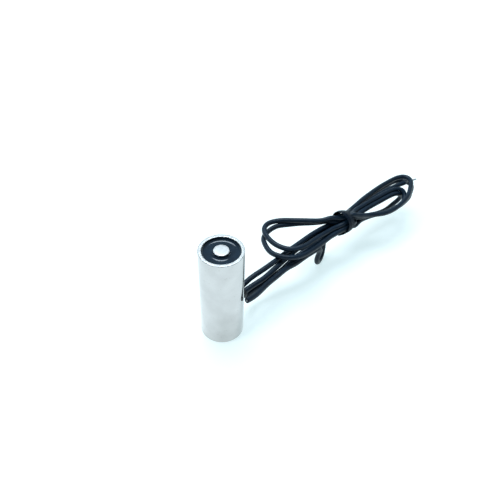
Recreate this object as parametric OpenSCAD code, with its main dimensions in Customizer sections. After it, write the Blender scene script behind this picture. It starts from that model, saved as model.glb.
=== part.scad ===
// Slim holding electromagnet with flying leads.
// A steel pot with a central pole holds a potted coil; two leads leave its side and are tied into a hank.
// The back face lies on z = 0 about the pole's axis, the pole face looks up, the leads run along +X.

/* [Pot] */
// Outside diameter of the shell
shell_d = 10; // [9:0.5:14]
// Height from the back face to the pole face
shell_h = 25; // [22:0.5:40]
// Wall of the shell
shell_wall = 0.8; // [0.6:0.1:1]
// Rounding of the rim's edges
rim_round = 0.15; // [0.1:0.05:0.25]
// Rounding of the back end's outer edge
foot_round = 0.3; // [0.1:0.05:0.4]

/* [Pole piece] */
// Diameter of the central pole
pole_d = 3.5; // [3:0.1:4]
// Thickness of the base under the coil
base_t = 7; // [6.5:0.5:9]
// Core diameter of the mounting thread
thread_d = 2.5; // [2:0.1:3]
// Depth of the mounting thread
thread_depth = 5.5; // [4:0.5:6]
// Countersink at the thread's mouth
thread_mouth = 0.3; // [0.1:0.1:0.5]

/* [Coil] */
// Height of the space for the soldered joints
chamber_h = 3.6; // [3.4:0.1:5]
// Wall of the bobbin's tube
bobbin_wall = 0.4; // [0.3:0.05:0.5]
// Thickness of the bobbin's flanges
flange_t = 0.6; // [0.4:0.1:1]
// Depth of the winding on the bobbin
winding_depth = 1.3; // [0.8:0.1:1.4]
// Thickness of the tape round the winding
tape_t = 0.1; // [0.05:0.05:0.15]
// Thickness of the insulating washer on the base
washer_t = 0.3; // [0.2:0.1:0.5]
// Diameter of the winding's wire ends
tail_d = 0.3; // [0.2:0.05:0.4]

/* [Potting] */
// Thickness of the epoxy over the bobbin
potting_t = 0.6; // [0.4:0.1:1]
// How far the epoxy lies below the pole face
potting_drop = 0.9; // [0.6:0.1:1.5]
// Height of the rounded rise where the epoxy wets the steel
wet_h = 0.3; // [0.1:0.05:0.4]

/* [Leads] */
// Outside diameter of a lead
lead_d = 1.3; // [1:0.1:1.4]
// Spacing of the two leads at the shell
lead_pitch = 1.6; // [1.6:0.1:1.8]
// Length of the soldered joint
joint_len = 1; // [0.8:0.1:1.1]
// Diameter of the soldered joint
joint_d = 0.7; // [0.6:0.05:0.8]
// Diameter of the tinned conductor
conductor_d = 0.5; // [0.4:0.05:0.6]

/* [Hank] */
// Distance from the pole's axis to the tie
tie_x = 41.5; // [40:0.5:44]
// Height of the hank's middle above the back face
hank_z = 10.5; // [10:0.25:11.5]
// Reach of the far loop past the tie
far_reach = 28.5; // [26:0.5:32]
// Length of the tinned end seen past the far loop
tip_len = 2; // [1:0.5:4]
// Width of the tie's ribbon
tie_w = 1.9; // [1.5:0.1:3]
// Thickness of the tie's ribbon
tie_t = 0.3; // [0.2:0.05:0.7]
// How far the tie's second turn lies from the first
tie_step = 0.6; // [0.4:0.1:0.8]
// Length of the tie's loose end
tie_tail = 1.2; // [0.8:0.1:2]

/* [Hidden] */
$fn = 64;
// Play of a piece that is slipped into place
slip_gap = 0.05;
// Play left between surfaces that are pressed or bonded
bond_gap = 0.01;

shell_r = shell_d / 2;
bore_r = shell_r - shell_wall;
pole_r = pole_d / 2;
chamber_z = base_t + washer_t;
bobbin_z = base_t + chamber_h;
face_z = shell_h - potting_drop;
bobbin_top = face_z - potting_t;
exit_z = bobbin_z - 1.8;

spool_bore = pole_r + slip_gap;
spool_r = spool_bore + bobbin_wall;
flange_r = bore_r - slip_gap;
winding_r = spool_r + winding_depth;
tape_r = winding_r + tape_t;

lead_r = lead_d / 2;
lead_ys = [lead_pitch / 2, -lead_pitch / 2];
joint_x = pole_r + 0.35;
lead_x = joint_x + joint_len;
tail_x = joint_x + joint_len / 2;
sleeve_t = 0.12;
sleeve_r = joint_d / 2 + slip_gap;

bush_wall = 0.35;
bush_h = lead_d + 2 * bush_wall;
collar_lip = 0.4;
collar_out = shell_r + 0.9;

// Where the loose leads meet the hank
hank_x = shell_r + 7;
hank_lift = hank_z - exit_z;
tie_y = -0.2;
neck_r = 1.85 * lead_d;
neck_reach = tie_step + tie_w;
bundle_w = 3 * lead_d;
near_fold_r = 2.2 * lead_d;
near_fold_x = shell_r + 2.2 + near_fold_r;
near_fold_z = exit_z - lead_r - near_fold_r - 0.4;
loop_t = 2 * lead_d;
far_x = tie_x + far_reach;
stub_at = [tie_x - 8, 0.7];
stub_turn = 48;

// Routes of the two leads from their joints to the hank, straight out of the shell first
lead_a_route = [
    [lead_x, lead_ys[0], exit_z],
    [shell_r + 1.5, lead_ys[0], exit_z],
    [shell_r + 2.5, lead_ys[0], exit_z + 0.15 * hank_lift],
    [shell_r + 3.5, lead_ys[0], exit_z + 0.35 * hank_lift],
    [shell_r + 5, lead_ys[0], exit_z + 0.55 * hank_lift],
    [hank_x, lead_ys[0], exit_z + 0.6 * hank_lift]
];
lead_b_route = [
    [lead_x, lead_ys[1], exit_z],
    [shell_r + 1.5, lead_ys[1], exit_z],
    [shell_r + 3.5, lead_ys[1], exit_z + 0.05 * hank_lift],
    [shell_r + 5, lead_ys[1], exit_z + 0.1 * hank_lift],
    [hank_x, lead_ys[1], exit_z + 0.1 * hank_lift]
];

function unit(v) = v / norm(v);

// Direction of a route at point i
function heading(route, i) =
    i == 0 ? unit(route[1] - route[0])
    : i == len(route) - 1 ? [1, 0, 0]
    : unit(unit(route[i] - route[i - 1]) + unit(route[i + 1] - route[i]));

// One ring of a swept tube, square to the route
function tube_ring(at, along, r, sides) =
    let (side = unit(cross([0, 0, 1], along)), up = cross(along, side))
    [for (k = [0 : sides - 1]) at + r * (cos(360 * k / sides) * side + sin(360 * k / sides) * up)];

// Round tube along a route of points
module tube(route, d, sides = 8) {
    rings = len(route);
    points = [for (i = [0 : rings - 1]) each tube_ring(route[i], heading(route, i), d / 2, sides)];
    walls = [
        for (i = [0 : rings - 2], k = [0 : sides - 1])
            let (a = i * sides + k, b = i * sides + (k + 1) % sides)
            [a, a + sides, b + sides, b]
    ];
    start = [for (k = [0 : sides - 1]) k];
    finish = [for (k = [sides - 1 : -1 : 0]) (rings - 1) * sides + k];
    polyhedron(points, concat([start], walls, [finish]));
}

// Outline with two round ends
module link_outline(a, ra, b, rb) {
    hull() {
        translate(a) circle(ra);
        translate(b) circle(rb);
    }
}

// What a rounding takes off an outside corner at the origin, material on -X and -Y
module corner_cut(r) {
    difference() {
        translate([-r, -r]) square(2 * r);
        translate([-r, -r]) circle(r);
        translate([-3 * r, -3 * r]) square([2 * r, 4 * r]);
        translate([-3 * r, -3 * r]) square([4 * r, 2 * r]);
    }
}

// Slot with round ends across the leads, as a block along +X
module lead_slot(x0, x1, w, h) {
    translate([x0, 0, exit_z]) rotate([90, 0, 90]) linear_extrude(x1 - x0) {
        square([w - h, h], center = true);
        for (s = [-1, 1]) translate([s * (w - h) / 2, 0]) circle(h / 2);
    }
}

// The two leads' straight stretch, with play round it
module lead_bores(x0, x1, r) {
    for (y = lead_ys) translate([x0, y, exit_z]) rotate([0, 90, 0]) cylinder(h = x1 - x0, r = r);
}

module shell() {
    color("Silver") difference() {
        rotate_extrude() difference() {
            translate([bore_r, 0]) square([shell_wall, shell_h]);
            translate([shell_r, shell_h]) corner_cut(rim_round);
            translate([bore_r, shell_h]) mirror([1, 0]) corner_cut(rim_round);
            translate([shell_r, 0]) mirror([0, 1]) corner_cut(foot_round);
        }
        lead_slot(0, shell_r + 1, lead_pitch + bush_h, bush_h);
    }
}

module pole_piece() {
    color("Gainsboro") rotate_extrude() difference() {
        union() {
            square([bore_r - bond_gap, base_t]);
            square([pole_r, shell_h]);
        }
        translate([pole_r, shell_h]) corner_cut(rim_round);
        square([thread_d / 2, thread_depth]);
        polygon([[0, 0], [thread_d / 2 + thread_mouth, 0], [thread_d / 2, thread_mouth], [0, thread_mouth]]);
        polygon([[0, thread_depth], [thread_d / 2, thread_depth], [0, thread_depth + 0.6]]);
    }
}

module base_washer() {
    color("Peru") translate([0, 0, base_t]) difference() {
        cylinder(h = washer_t, r = flange_r);
        translate([0, 0, -1]) cylinder(h = washer_t + 2, r = spool_bore);
    }
}

module bobbin() {
    color("Ivory") difference() {
        rotate_extrude() {
            translate([spool_bore, bobbin_z]) square([flange_r - spool_bore, flange_t]);
            translate([spool_bore, bobbin_z]) square([bobbin_wall, bobbin_top - bobbin_z]);
            translate([spool_bore, bobbin_top - flange_t]) square([flange_r - spool_bore, flange_t]);
        }
        for (y = lead_ys) translate([tail_x, y, bobbin_z - 1])
            cylinder(h = flange_t + 2, r = tail_d / 2 + slip_gap);
    }
}

module winding() {
    color("Chocolate") translate([0, 0, bobbin_z + flange_t]) difference() {
        cylinder(h = bobbin_top - bobbin_z - 2 * flange_t, r = winding_r);
        translate([0, 0, -1]) cylinder(h = shell_h, r = spool_r + bond_gap);
    }
}

module coil_tape() {
    color("Goldenrod") translate([0, 0, bobbin_z + flange_t]) difference() {
        cylinder(h = bobbin_top - bobbin_z - 2 * flange_t, r = tape_r);
        translate([0, 0, -1]) cylinder(h = shell_h, r = winding_r + bond_gap);
    }
}

// Wire end from the winding down to its joint
module tail(y) {
    translate([tail_x, y, exit_z]) cylinder(h = bobbin_z + flange_t - exit_z, d = tail_d);
}

module start_tail() {
    color("Chocolate") tail(lead_ys[0]);
}

module finish_tail() {
    color("Chocolate") tail(lead_ys[1]);
}

// Soldered joint on the end of a lead, round its wire end
module joint(y) {
    difference() {
        translate([joint_x, y, exit_z]) rotate([0, 90, 0]) cylinder(h = joint_len, d = joint_d);
        tail(y);
    }
}

module start_joint() {
    color("LightGray") joint(lead_ys[0]);
}

module finish_joint() {
    color("LightGray") joint(lead_ys[1]);
}

// Insulating sleeve over a joint, pierced for the wire end
module sleeve(y) {
    difference() {
        translate([joint_x, y, exit_z]) rotate([0, 90, 0]) cylinder(h = joint_len, r = sleeve_r + sleeve_t);
        translate([joint_x - 1, y, exit_z]) rotate([0, 90, 0]) cylinder(h = joint_len + 2, r = sleeve_r);
        translate([tail_x, y, exit_z]) cylinder(h = 2, r = tail_d / 2 + slip_gap);
    }
}

module start_sleeve() {
    color("DarkRed") sleeve(lead_ys[0]);
}

module finish_sleeve() {
    color("DarkRed") sleeve(lead_ys[1]);
}

module chamber_potting() {
    color("DimGray") difference() {
        translate([0, 0, chamber_z]) cylinder(h = bobbin_z - chamber_z, r = bore_r - bond_gap);
        translate([0, 0, chamber_z - 1]) cylinder(h = chamber_h + 2, r = pole_r + bond_gap);
        lead_bores(joint_x, lead_x, sleeve_r + sleeve_t + bond_gap);
        lead_bores(lead_x, shell_r, lead_r + bond_gap);
        lead_slot(bore_r - 2 * slip_gap - 0.4, shell_r, lead_pitch + bush_h, bush_h);
        for (y = lead_ys) translate([tail_x, y, exit_z]) cylinder(h = chamber_h, r = tail_d / 2 + bond_gap);
    }
}

// Epoxy ring with a rounded rise at the pole and at the shell
module face_potting() {
    x0 = pole_r + bond_gap;
    x1 = bore_r - bond_gap;
    wet_w = 1.5 * wet_h;
    steps = 6;
    rise = [for (i = [0 : steps]) [wet_w * i / steps, face_z + wet_h * pow(1 - i / steps, 2)]];
    inner = [for (p = rise) [x0 + p[0], p[1]]];
    outer = [for (i = [steps : -1 : 0]) [x1 - rise[i][0], rise[i][1]]];
    color("#1c242b") rotate_extrude()
        polygon(concat([[x0, bobbin_top]], inner, outer, [[x1, bobbin_top]]));
}

// Bush in the shell's slot, with a collar that follows the shell
module lead_grommet() {
    neck_w = lead_pitch + bush_h - 2 * slip_gap;
    neck_h = bush_h - 2 * slip_gap;
    color("#202428") difference() {
        union() {
            lead_slot(bore_r - 0.4, shell_r + 0.5, neck_w, neck_h);
            difference() {
                lead_slot(bore_r, collar_out, neck_w + 2 * collar_lip, neck_h + 2 * collar_lip);
                cylinder(h = shell_h, r = shell_r + bond_gap);
            }
        }
        lead_bores(0, collar_out + 1, lead_r + bond_gap);
    }
}

module lead_a() {
    color("#262f38") tube(lead_a_route, lead_d);
}

module lead_b() {
    color("#262f38") tube(lead_b_route, lead_d);
}

// Block that an outline in plan sweeps from z0 to z1
module layer(z0, z1) {
    translate([0, 0, z0]) linear_extrude(z1 - z0) children();
}

// Outer shape of the folded leads
module lead_hank() {
    bundle_x = hank_x + 14;
    color("#262f38") union() {
        layer(hank_z - neck_r * 0.9, hank_z + neck_r * 0.6)
            translate([hank_x, -bundle_w / 2]) square([tie_x - neck_reach + 0.1 - hank_x, bundle_w]);
        translate([tie_x - neck_reach, tie_y, hank_z]) rotate([0, 90, 0]) cylinder(h = 2 * neck_reach, r = neck_r);
        layer(hank_z, hank_z + loop_t) difference() {
            link_outline([tie_x - 18, 5], 6.5, [tie_x - neck_reach + 0.1 - lead_d, tie_y], lead_d);
            link_outline([tie_x - 17.5, 5], 4.2, [tie_x - 6, 1.6], lead_r);
        }
        layer(hank_z - loop_t / 2, hank_z + loop_t / 2) difference() {
            link_outline([far_x - 5.2, -1], 5.2, [tie_x + 2, tie_y], 1.5 * lead_d);
            link_outline([far_x - 9, -1], 2, [tie_x + 8, -0.8], lead_r);
        }
        translate([0, lead_d, 0]) rotate([90, 0, 0]) linear_extrude(2 * lead_d)
            link_outline([near_fold_x, near_fold_z], near_fold_r, [bundle_x, hank_z - lead_d], lead_d);
        translate([stub_at[0], stub_at[1], 0])
            rotate([90, 0, stub_turn])
            linear_extrude(lead_d, center = true)
            link_outline([0, 2.5 * lead_d], 2.5 * lead_d, [0, hank_z], 2.5 * lead_d - 1.5);
    }
}

// Tinned end of a lead, standing out past the far loop
module lead_tip() {
    color("Gainsboro") difference() {
        translate([far_x - 1.5, 0, hank_z - lead_d / 2]) rotate([0, 90, 0])
            cylinder(h = 1.5 + tip_len, d = conductor_d);
        layer(0, 2 * hank_z) translate([far_x - 5.2, -1]) circle(5.2 + bond_gap);
    }
}

// One turn of the ribbon round the hank's neck, its right edge at x
module ribbon_turn(x, r) {
    translate([x - tie_w, tie_y, hank_z]) rotate([0, 90, 0]) rotate_extrude()
        translate([r, 0]) square([tie_t, tie_w]);
}

// Ribbon wound twice round the hank's neck, with its loose end laid back under the bundle
module twist_tie() {
    ring_r = neck_r + bond_gap;
    right = tie_x + tie_w / 4;
    color("#1b2026") union() {
        ribbon_turn(right, ring_r);
        ribbon_turn(right - tie_step, ring_r + tie_t - 0.01);
        translate([right - tie_step - tie_w - tie_tail, tie_y - 0.75 * tie_w, hank_z - ring_r - 1.9 * tie_t])
            cube([tie_tail + tie_w / 2, tie_w, 0.9 * tie_t]);
    }
}

shell();
pole_piece();
base_washer();
bobbin();
winding();
coil_tape();
start_tail();
finish_tail();
start_joint();
finish_joint();
start_sleeve();
finish_sleeve();
chamber_potting();
face_potting();
lead_grommet();
lead_a();
lead_b();
lead_hank();
lead_tip();
twist_tie();
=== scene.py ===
"""Slim lifting electromagnet with two tied leads: finishes, leads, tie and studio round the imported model."""

import logging
import math
from dataclasses import dataclass
from enum import Enum

import bpy
import bmesh
import numpy as np
from mathutils import Matrix, Vector


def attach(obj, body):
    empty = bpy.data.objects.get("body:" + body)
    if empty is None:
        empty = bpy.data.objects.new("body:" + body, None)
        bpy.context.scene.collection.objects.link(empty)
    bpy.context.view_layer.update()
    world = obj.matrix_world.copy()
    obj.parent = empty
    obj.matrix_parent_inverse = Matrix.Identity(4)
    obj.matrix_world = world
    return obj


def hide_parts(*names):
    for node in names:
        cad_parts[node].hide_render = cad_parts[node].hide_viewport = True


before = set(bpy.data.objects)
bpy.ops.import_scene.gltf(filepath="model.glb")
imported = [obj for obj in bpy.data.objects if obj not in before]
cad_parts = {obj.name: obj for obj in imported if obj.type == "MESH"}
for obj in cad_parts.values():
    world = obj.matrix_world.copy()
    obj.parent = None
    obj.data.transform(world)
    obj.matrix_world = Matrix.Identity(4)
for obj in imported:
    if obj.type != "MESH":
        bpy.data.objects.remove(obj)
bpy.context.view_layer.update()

log = logging.getLogger("electromagnet")

MM = 0.001
BODY = "root"

# Points closer than this are one point, in metres
SAME_POINT = 1e-8

# A solid that cuts an opening runs this far past the wall, in millimetres
CUT_PAST = 1.0

# A wave texture repeats every 2 pi / 20 of its scaled coordinate
WAVE_PERIOD = 2 * math.pi / 20

# Lines that a tool or a die leaves wander a little
LINE_WANDER = {"Distortion": 1.5, "Detail": 2.0, "Detail Scale": 0.6}

# Cloudy patches keep near the middle of their range: these limits stretch them for the colour and the gloss
TONE_LIMITS = {"From Min": 0.35, "From Max": 0.65}
GLOSS_LIMITS = {"From Min": 0.3, "From Max": 0.7}

# The gloss drifts in smaller patches than the colour
GLOSS_PATCH = 0.6

# Place of the colour among a Mix node's outputs
MIXED_COLOUR = 2

WHITE = (1.0, 1.0, 1.0, 1.0)

Object = bpy.types.Object
Tree = bpy.types.NodeTree
Socket = bpy.types.NodeSocket
Point = tuple[float, float, float]
Outline = list[tuple[float, float]]


def linear(colour: str) -> tuple[float, float, float, float]:
    """Turn an sRGB hex colour to linear red, green and blue, with an alpha of 1."""
    parts = [int(colour[i:i + 2], 16) / 255 for i in (1, 3, 5)]
    return (*(c / 12.92 if c <= 0.04045 else ((c + 0.055) / 1.055) ** 2.4 for c in parts), 1.0)


def add(tree: Tree, kind: str, values: dict[str, object] | None = None, links: dict[str, Socket] | None = None,
        **settings: object) -> bpy.types.Node:
    """Add one node with its settings, fixed socket values and links.

    Args:
        tree: the node tree it goes into.
        kind: Blender's name of the node type.
        values: fixed values by input socket.
        links: output sockets by input socket.
        settings: the node's own properties.

    Returns:
        The new node.
    """
    node = tree.nodes.new(kind)
    for key, value in settings.items():
        setattr(node, key, value)
    sockets = {s.name: s for s in reversed(node.inputs)} | {s.identifier: s for s in node.inputs}
    for key, value in (values or {}).items():
        sockets[key].default_value = value
    for key, source in (links or {}).items():
        tree.links.new(source, sockets[key])
    return node


class Lay(Enum):
    """Which way the fine lines of a finish run."""

    NONE = "none"
    ROUND_WALL = "lines round a turned wall"
    ROUND_FACE = "rings on a faced end"
    ALONG = "lines along a drawn piece"


# Settings of the wave that draws the lines of each lay
WAVES: dict[Lay, dict[str, str]] = {
    Lay.ROUND_WALL: {"wave_type": "BANDS", "bands_direction": "Z"},
    Lay.ROUND_FACE: {"wave_type": "RINGS", "rings_direction": "Z"},
    Lay.ALONG: {"wave_type": "BANDS", "bands_direction": "Y"},
}


@dataclass(frozen=True)
class Finish:
    """A real material and how its surface was made, as one procedural material.

    The colour drifts between two tones in soft patches, the gloss drifts with them, and a fine grain and
    fine lines are pressed into the surface. Sizes are in millimetres, and those of the grain and the lines
    are a width and a depth.
    """

    name: str
    tone: str
    second_tone: str
    roughness: tuple[float, float]
    patch_mm: float = 3.0
    grain_mm: tuple[float, float] = (0.2, 0.0)
    lay: Lay = Lay.NONE
    lines_mm: tuple[float, float] = (0.1, 0.0)
    fixed: tuple[tuple[str, float], ...] = ()

    def material(self) -> bpy.types.Material:
        """The finish's one material, made when it is first asked for."""
        return bpy.data.materials.get(self.name) or self.make()

    def make(self) -> bpy.types.Material:
        """Build the material.

        Returns:
            The finished material.
        """
        material = bpy.data.materials.new(self.name)
        material.use_nodes = True
        tree = material.node_tree
        shader = next(n for n in tree.nodes if n.type == "BSDF_PRINCIPLED")
        for key, value in self.fixed:
            shader.inputs[key].default_value = value
        place = add(tree, "ShaderNodeTexCoord").outputs["Object"]
        tree.links.new(self.colour(tree, place), shader.inputs["Base Color"])
        tree.links.new(self.gloss(tree, place), shader.inputs["Roughness"])
        relief = self.relief(tree, place)
        if relief is not None:
            tree.links.new(relief, shader.inputs["Normal"])
        return material

    def patches(self, tree: Tree, place: Socket, size_mm: float, detail: float = 3.0) -> Socket:
        """Soft cloudy patches of a real size, as a value from 0 to 1."""
        values = {"Scale": 1 / (size_mm * MM), "Detail": detail}
        return add(tree, "ShaderNodeTexNoise", values, {"Vector": place}).outputs["Fac"]

    def colour(self, tree: Tree, place: Socket) -> Socket:
        """Colour drifting between the two tones.

        Args:
            tree: the material's node tree.
            place: coordinates on the piece, in metres.

        Returns:
            The colour's socket.
        """
        patches = self.patches(tree, place, self.patch_mm)
        share = add(tree, "ShaderNodeMapRange", TONE_LIMITS, {"Value": patches})
        mixed = add(tree, "ShaderNodeMix", {"A_Color": linear(self.tone), "B_Color": linear(self.second_tone)},
                    {"Factor_Float": share.outputs["Result"]}, data_type="RGBA")
        return mixed.outputs[MIXED_COLOUR]

    def gloss(self, tree: Tree, place: Socket) -> Socket:
        """Roughness drifting between its two limits."""
        limits = {**GLOSS_LIMITS, "To Min": self.roughness[0], "To Max": self.roughness[1]}
        patches = self.patches(tree, place, self.patch_mm * GLOSS_PATCH)
        return add(tree, "ShaderNodeMapRange", limits, {"Value": patches}).outputs["Result"]

    def relief(self, tree: Tree, place: Socket) -> Socket | None:
        """Grain and fine lines pressed into the surface.

        Args:
            tree: the material's node tree.
            place: coordinates on the piece, in metres.

        Returns:
            The bent normal's socket, or nothing on a smooth surface.
        """
        normal = None
        width, depth = self.grain_mm
        if depth > 0:
            grain = self.patches(tree, place, width, detail=2.0)
            bump = add(tree, "ShaderNodeBump", {"Distance": depth * MM}, {"Height": grain})
            normal = bump.outputs["Normal"]
        if self.lay is Lay.NONE:
            return normal
        where = add(tree, "ShaderNodeUVMap").outputs["UV"] if self.lay is Lay.ALONG else place
        width, depth = self.lines_mm
        lines = add(tree, "ShaderNodeTexWave", {"Scale": WAVE_PERIOD / (width * MM), **LINE_WANDER},
                    {"Vector": where}, **WAVES[self.lay])
        onto = {"Height": lines.outputs["Fac"]}
        if normal is not None:
            onto["Normal"] = normal
        return add(tree, "ShaderNodeBump", {"Distance": depth * MM}, onto).outputs["Normal"]


@dataclass(frozen=True)
class SpeckledFinish(Finish):
    """A finish with small dull specks, as handling and plating leave them.

    A speck's size is a share of its cell's: dull in the core, and fading out at its edge.
    """

    speck: str = "#9a968c"
    speck_mm: float = 1.1
    speck_share: float = 0.12
    speck_core: float = 0.3
    speck_cover: float = 0.55

    def colour(self, tree: Tree, place: Socket) -> Socket:
        """Colour drifting between the two tones, with specks over it.

        Args:
            tree: the material's node tree.
            place: coordinates on the piece, in metres.

        Returns:
            The colour's socket.
        """
        ground = super().colour(tree, place)
        cells = add(tree, "ShaderNodeTexVoronoi", {"Scale": 1 / (self.speck_mm * MM), "Randomness": 1.0},
                    {"Vector": place})
        limits = {"From Min": self.speck_share, "From Max": self.speck_share * self.speck_core}
        spot = add(tree, "ShaderNodeMapRange", {**limits, "To Max": self.speck_cover},
                   {"Value": cells.outputs["Distance"]})
        mixed = add(tree, "ShaderNodeMix", {"B_Color": linear(self.speck)},
                    {"Factor_Float": spot.outputs["Result"], "A_Color": ground}, data_type="RGBA")
        return mixed.outputs[MIXED_COLOUR]


METAL = ("Metallic", 1.0)

# Bright nickel plate over turned steel: a pale, slightly warm mirror softened by the tool marks under it
NICKEL_SHELL = SpeckledFinish(
    "nickel_plate_on_turned_steel", "#ccc9c8", "#c3c0bf", (0.05, 0.09), patch_mm=4.0, grain_mm=(0.25, 0.0003),
    lay=Lay.ROUND_WALL, lines_mm=(0.22, 0.0003), fixed=(METAL,))

# The same plate on the faced pole: rings from the facing cut, rubbed by what it has lifted
NICKEL_POLE = SpeckledFinish(
    "nickel_plate_on_faced_steel", "#d0cdca", "#c4c1be", (0.38, 0.48), patch_mm=1.2, grain_mm=(0.2, 0.001),
    lay=Lay.ROUND_FACE, lines_mm=(0.18, 0.001), fixed=(METAL,))

# Black casting epoxy, poured and cured: wet-looking gloss over a faint swirl from the pour
EPOXY = Finish(
    "black_epoxy_poured", "#0a1c2a", "#0f2535", (0.08, 0.16), patch_mm=1.5, grain_mm=(0.9, 0.004),
    fixed=(("IOR", 1.55),))

# Extruded soft PVC: blue-black, a satin bloom and faint die lines along it
PVC = Finish(
    "black_pvc_extruded", "#0b1c2a", "#0e2232", (0.38, 0.46), patch_mm=2.5, grain_mm=(0.12, 0.002),
    lay=Lay.ALONG, lines_mm=(0.3, 0.004), fixed=(("IOR", 1.53), ("Specular IOR Level", 0.27)))

# Ribbon of calendered PVC over a wire: flatter and drier than the leads
RIBBON = Finish(
    "black_pvc_ribbon_calendered", "#081420", "#0a1826", (0.42, 0.5), patch_mm=1.5, grain_mm=(0.15, 0.003),
    lay=Lay.ALONG, lines_mm=(0.22, 0.004), fixed=(("IOR", 1.53), ("Specular IOR Level", 0.1)))

# Moulded rubber: dark and dull, with a fine tooth from the mould
RUBBER = Finish(
    "black_rubber_moulded", "#15181b", "#1d2124", (0.55, 0.7), patch_mm=1.0, grain_mm=(0.1, 0.004),
    fixed=(("IOR", 1.52),))

# Hot-dipped tin on copper strands: pale grey, half bright, lumpy with solder
TIN = Finish(
    "tinned_copper_dipped", "#c9cbce", "#aeb1b6", (0.22, 0.4), patch_mm=0.5, grain_mm=(0.12, 0.004),
    fixed=(METAL,))

# Zinc-coated soft iron wire: grey and a little frosty
ZINC_WIRE = Finish(
    "zinc_coated_wire_drawn", "#b4b7b9", "#989ca0", (0.35, 0.5), patch_mm=0.4, grain_mm=(0.1, 0.002),
    fixed=(METAL,))

# Vulcanised fibre punched from sheet: red-brown and matt with pressed fibres
FIBRE = Finish(
    "vulcanised_fibre_punched", "#8a4a2c", "#733c24", (0.6, 0.75), patch_mm=0.8, grain_mm=(0.08, 0.006))

# Natural nylon, moulded: milky ivory with a soft shine
NYLON = Finish(
    "natural_nylon_moulded", "#e9e4d2", "#ded7c0", (0.35, 0.45), patch_mm=2.0, grain_mm=(0.2, 0.002),
    fixed=(("IOR", 1.53),))

# Enamelled copper, wound: the turns show as close lines under amber varnish
ENAMEL = Finish(
    "enamelled_copper_wound", "#a4522a", "#8c4322", (0.25, 0.35), patch_mm=1.5, lay=Lay.ROUND_WALL,
    lines_mm=(0.16, 0.03), fixed=(METAL, ("Coat Weight", 0.4)))

# Polyester film tape: thin amber sheet with a clean shine and a faint step at each lap
TAPE = Finish(
    "polyester_tape_wrapped", "#c79a2e", "#b98c24", (0.2, 0.3), patch_mm=3.0, grain_mm=(0.5, 0.003),
    lay=Lay.ROUND_WALL, lines_mm=(2.4, 0.01), fixed=(("IOR", 1.57),))

# Glass-fibre sleeving, braided and varnished: rust red with the fine tooth of its braid
SLEEVING = Finish(
    "glass_sleeving_braided", "#7c2a20", "#6a231b", (0.5, 0.62), patch_mm=0.5, grain_mm=(0.12, 0.01))


def placed(name: str, data: bpy.types.ID) -> Object:
    """Stand a mesh, a lamp or a camera in the scene as an object."""
    thing = bpy.data.objects.new(name, data)
    bpy.context.scene.collection.objects.link(thing)
    return thing


def shade(mesh: bpy.types.Mesh, sharp_deg: float) -> None:
    """Shade a mesh smooth, except at edges that turn more than an angle."""
    mesh.polygons.foreach_set("use_smooth", [True] * len(mesh.polygons))
    mesh.set_sharp_from_angle(angle=math.radians(sharp_deg))


def object_from(name: str, build: bmesh.types.BMesh, sharp_deg: float) -> Object:
    """Put a finished mesh in the scene, smooth except at edges sharper than an angle.

    Args:
        name: the piece's name.
        build: its mesh in the making, in metres, which is used up.
        sharp_deg: edges that turn more than this stay crisp.

    Returns:
        The new object.
    """
    mesh = bpy.data.meshes.new(name)
    build.to_mesh(mesh)
    build.free()
    shade(mesh, sharp_deg)
    return placed(name, mesh)


def skin(name: str, rows: np.ndarray, sharp_deg: float = 35.0, loop: bool = False,
         lengths: np.ndarray | None = None) -> Object:
    """Join rings of points into one surface.

    Args:
        name: the piece's name.
        rows: rings of points in millimetres, as an array of ring, point and coordinate.
        sharp_deg: edges that turn more than this stay crisp.
        loop: joins the last ring to the first.
        lengths: distance of each ring along the piece, for lines that follow it, in millimetres.

    Returns:
        The new object.
    """
    count, sides = rows.shape[:2]
    build = bmesh.new()
    points = [[build.verts.new(p) for p in ring] for ring in rows * MM]
    marks = build.loops.layers.uv.new("UVMap") if lengths is not None else None
    girth = np.linalg.norm(rows[count // 2] - np.roll(rows[count // 2], 1, axis=0), axis=1).sum()
    for i in range(count if loop else count - 1):
        j = (i + 1) % count
        for k in range(sides):
            m = (k + 1) % sides
            face = build.faces.new((points[i][k], points[i][m], points[j][m], points[j][k]))
            if marks is not None:
                spots = ((i, k), (i, k + 1), (j, k + 1), (j, k))
                for corner, (ring, side) in zip(face.loops, spots):
                    corner[marks].uv = (lengths[ring] * MM, girth * side / sides * MM)
    bmesh.ops.remove_doubles(build, verts=build.verts, dist=SAME_POINT)
    open_edges = [e for e in build.edges if e.is_boundary]
    if open_edges and not loop:
        bmesh.ops.holes_fill(build, edges=open_edges, sides=sides)
    bmesh.ops.recalc_face_normals(build, faces=build.faces)
    return object_from(name, build, sharp_deg)


def joined(name: str, pieces: list[Object], sharp_deg: float) -> Object:
    """Put several meshes into one piece.

    Args:
        name: the new piece's name.
        pieces: the meshes, which are used up.
        sharp_deg: edges that turn more than this stay crisp.

    Returns:
        The joined piece.
    """
    build = bmesh.new()
    for piece in pieces:
        build.from_mesh(piece.data)
        bpy.data.objects.remove(piece)
    return object_from(name, build, sharp_deg)


def cut(piece: Object, tools: list[Object], sharp_deg: float = 35.0) -> None:
    """Cut other solids out of a piece, and remove them.

    Args:
        piece: the piece that is cut.
        tools: the solids that are taken away.
        sharp_deg: edges that turn more than this stay crisp.
    """
    for tool in tools:
        modifier = piece.modifiers.new("cut", "BOOLEAN")
        modifier.object = tool
        modifier.solver = "EXACT"
    whole = piece.evaluated_get(bpy.context.evaluated_depsgraph_get())
    mesh = bpy.data.meshes.new_from_object(whole)
    piece.modifiers.clear()
    piece.data = mesh
    shade(mesh, sharp_deg)
    for tool in tools:
        bpy.data.objects.remove(tool)


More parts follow.
